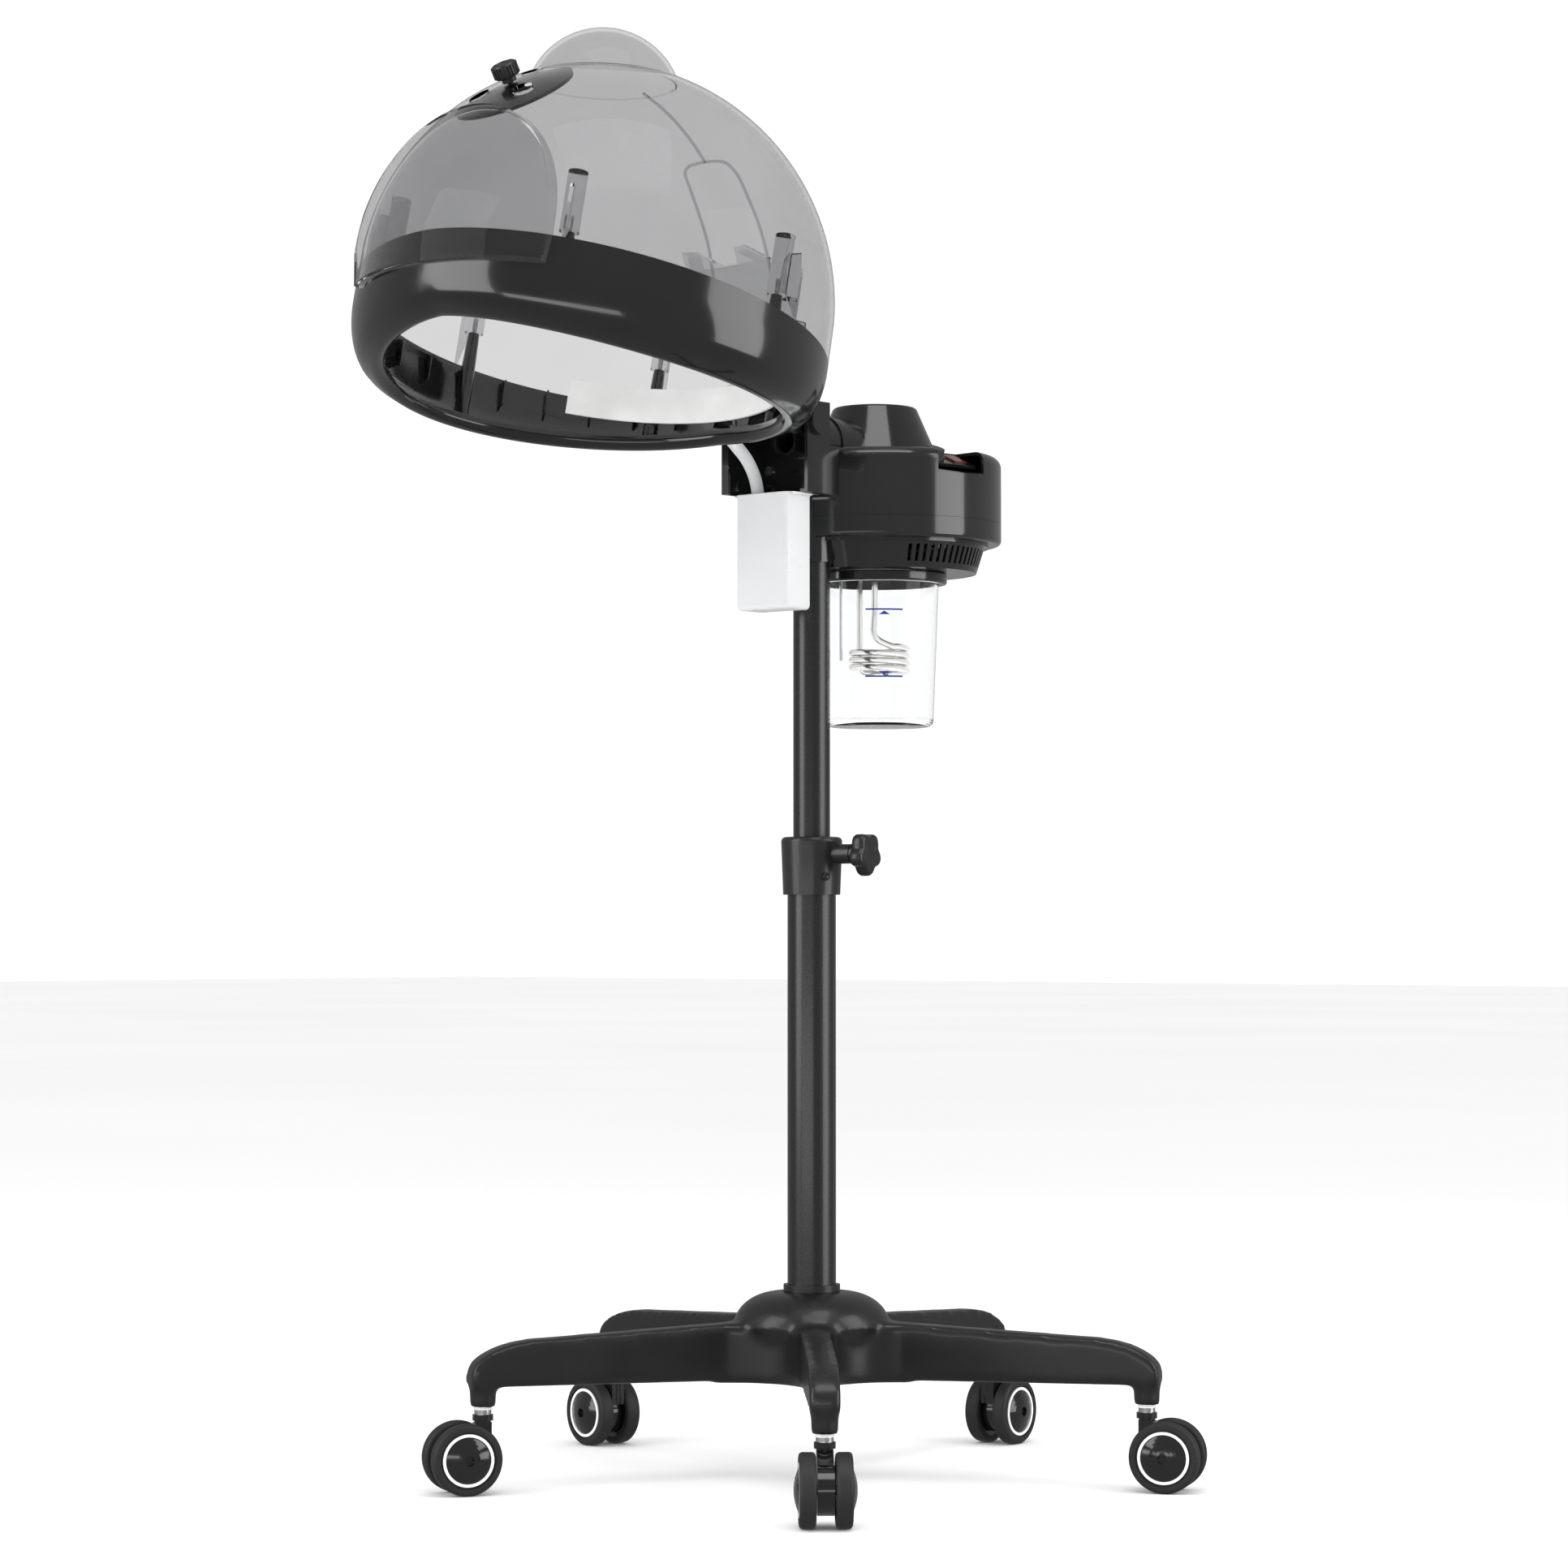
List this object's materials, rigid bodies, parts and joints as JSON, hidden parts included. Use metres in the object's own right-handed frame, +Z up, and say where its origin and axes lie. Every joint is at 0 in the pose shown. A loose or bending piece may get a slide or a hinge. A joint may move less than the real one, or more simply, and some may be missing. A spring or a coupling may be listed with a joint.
{
  "type": "hood steamer",
  "caption": "Hood steamer: a smoky clear dome over a black collar on a tilting bracket, with a boiler drum and clear water jar, on a height-adjustable pole and a rolling star base.",
  "frame": {"origin": "on the pole axis at floor level", "axes": "+Z up along the pole; the hood points to -Y and the boiler drum to +Y"},
  "size_m": [0.6586, 0.8195, 1.215],
  "materials": {
    "base_plastic": "gloss",
    "bush_plastic": "satin",
    "caster_steel": "satin",
    "collar_plastic": "satin",
    "tube_black": "satin",
    "knob_plastic": "satin",
    "shell_plastic": "gloss",
    "cover_plastic": "gloss",
    "seal_rubber": "matt",
    "heater_steel": "satin",
    "board": "satin",
    "dial_plastic": "satin",
    "switch_red": "gloss",
    "jar_clear": "polished",
    "box_plastic": "satin",
    "hood_black": "gloss",
    "smoke_clear": "polished",
    "baffle_white": "satin",
    "hose_clear": "satin",
    "caster_plastic": "gloss",
    "tyre_grey": "matt",
    "ring_white": "satin"
  },
  "bodies": {
    "base": {"base_star": "base_plastic", "stem_bushes": "bush_plastic", "caster_stems": "caster_steel", "foot_ring": "collar_plastic", "lower_tube": "tube_black", "clamp_collar": "collar_plastic", "guide_bush": "bush_plastic", "base_screws": "caster_steel"},
    "knob": {"clamp_knob": "knob_plastic", "clamp_stud": "caster_steel"},
    "column": {"upper_tube": "tube_black", "tube_end_plug": "bush_plastic"},
    "head": {"head_lower_shell": "shell_plastic", "head_upper_shell": "shell_plastic", "vent_skirt": "shell_plastic", "cone_cover": "cover_plastic", "steam_pipe": "cover_plastic", "arm_bracket": "cover_plastic", "bracket_screws": "caster_steel", "jar_seal": "seal_rubber", "heater_coil": "heater_steel", "level_probe": "caster_steel", "control_panel": "cover_plastic", "mains_inlet": "cover_plastic", "circuit_board": "board"},
    "timer": {"timer_dial": "dial_plastic"},
    "switch": {"power_switch": "switch_red"},
    "jar": {"water_jar": "jar_clear", "jar_ring": "cover_plastic"},
    "drip_box": {"waste_box": "box_plastic"},
    "hood": {"hood_collar": "hood_black", "hood_dome": "smoke_clear", "front_window": "smoke_clear", "steam_duct": "smoke_clear", "steam_baffle": "baffle_white", "hood_screws": "caster_steel", "hinge_pins": "cover_plastic", "drain_hose": "hose_clear"},
    "vent": {"vent_disc": "knob_plastic", "vent_knob": "knob_plastic"},
    "caster_1": {"caster_fork_1": "caster_plastic"},
    "wheels_1": {"caster_tyres_1": "tyre_grey", "caster_hubs_1": "caster_plastic", "caster_rings_1": "ring_white"},
    "caster_2": {"caster_fork_2": "caster_plastic"},
    "wheels_2": {"caster_tyres_2": "tyre_grey", "caster_hubs_2": "caster_plastic", "caster_rings_2": "ring_white"},
    "caster_3": {"caster_fork_3": "caster_plastic"},
    "wheels_3": {"caster_tyres_3": "tyre_grey", "caster_hubs_3": "caster_plastic", "caster_rings_3": "ring_white"},
    "caster_4": {"caster_fork_4": "caster_plastic"},
    "wheels_4": {"caster_tyres_4": "tyre_grey", "caster_hubs_4": "caster_plastic", "caster_rings_4": "ring_white"},
    "caster_5": {"caster_fork_5": "caster_plastic"},
    "wheels_5": {"caster_tyres_5": "tyre_grey", "caster_hubs_5": "caster_plastic", "caster_rings_5": "ring_white"}
  },
  "joints": [
    {"name": "height_slide", "type": "slide", "parent": "base", "child": "column", "axis": [0, 0, 1], "range_m": [-0.06, 0.2]},
    {"name": "head_turn", "type": "hinge", "parent": "column", "child": "head", "pos_m": [0, 0, 0.84], "axis": [0, 0, 1], "continuous": true},
    {"name": "hood_tilt", "type": "hinge", "parent": "head", "child": "hood", "pos_m": [0, -0.036, 0.909], "axis": [-1, 0, 0], "range_deg": [-12.5, 45], "deforming": ["drain_hose"]},
    {"name": "vent_turn", "type": "hinge", "parent": "hood", "child": "vent", "pos_m": [0, -0.275, 0.987], "axis": [0, -0.5225, 0.8526], "range_deg": [0, 60]},
    {"name": "clamp_turn", "type": "hinge", "parent": "base", "child": "knob", "pos_m": [0, 0, 0.538], "axis": [0.9903, 0.1392, 0], "range_deg": [0, 180]},
    {"name": "jar_drop", "type": "slide", "parent": "head", "child": "jar", "axis": [0, 0, -1], "range_m": [0, 0.1]},
    {"name": "waste_box_drop", "type": "slide", "parent": "head", "child": "drip_box", "axis": [0, 0, -1], "range_m": [0, 0.105]},
    {"name": "timer_turn", "type": "hinge", "parent": "head", "child": "timer", "pos_m": [0.08038, 0.06858, 0.883], "axis": [0.4028, -0.0566, 0.9135], "range_deg": [-270, 0]},
    {"name": "switch_rock", "type": "hinge", "parent": "head", "child": "switch", "pos_m": [0.08346, 0.09339, 0.88209], "axis": [0.9047, -0.1271, -0.4067], "range_deg": [-5, 5]},
    {"name": "swivel_1", "type": "hinge", "parent": "base", "child": "caster_1", "pos_m": [0.19672, -0.21848, 0.06], "axis": [0, 0, 1], "continuous": true},
    {"name": "roll_1", "type": "hinge", "parent": "caster_1", "child": "wheels_1", "pos_m": [0.20877, -0.23186, 0.03], "axis": [0.7431, 0.6691, 0], "continuous": true},
    {"name": "swivel_2", "type": "hinge", "parent": "base", "child": "caster_2", "pos_m": [0.26858, 0.11958, 0.06], "axis": [0, 0, 1], "continuous": true},
    {"name": "roll_2", "type": "hinge", "parent": "caster_2", "child": "wheels_2", "pos_m": [0.28503, 0.1269, 0.03], "axis": [-0.4067, 0.9135, 0], "continuous": true},
    {"name": "swivel_3", "type": "hinge", "parent": "base", "child": "caster_3", "pos_m": [-0.03073, 0.29239, 0.06], "axis": [0, 0, 1], "continuous": true},
    {"name": "roll_3", "type": "hinge", "parent": "caster_3", "child": "wheels_3", "pos_m": [-0.03261, 0.31029, 0.03], "axis": [-0.9945, -0.1045, 0], "continuous": true},
    {"name": "swivel_4", "type": "hinge", "parent": "base", "child": "caster_4", "pos_m": [-0.28758, 0.06113, 0.06], "axis": [0, 0, 1], "continuous": true},
    {"name": "roll_4", "type": "hinge", "parent": "caster_4", "child": "wheels_4", "pos_m": [-0.30518, 0.06487, 0.03], "axis": [-0.2079, -0.9781, 0], "continuous": true},
    {"name": "swivel_5", "type": "hinge", "parent": "base", "child": "caster_5", "pos_m": [-0.147, -0.25461, 0.06], "axis": [0, 0, 1], "continuous": true},
    {"name": "roll_5", "type": "hinge", "parent": "caster_5", "child": "wheels_5", "pos_m": [-0.156, -0.2702, 0.03], "axis": [0.866, -0.5, 0], "continuous": true}
  ]
}
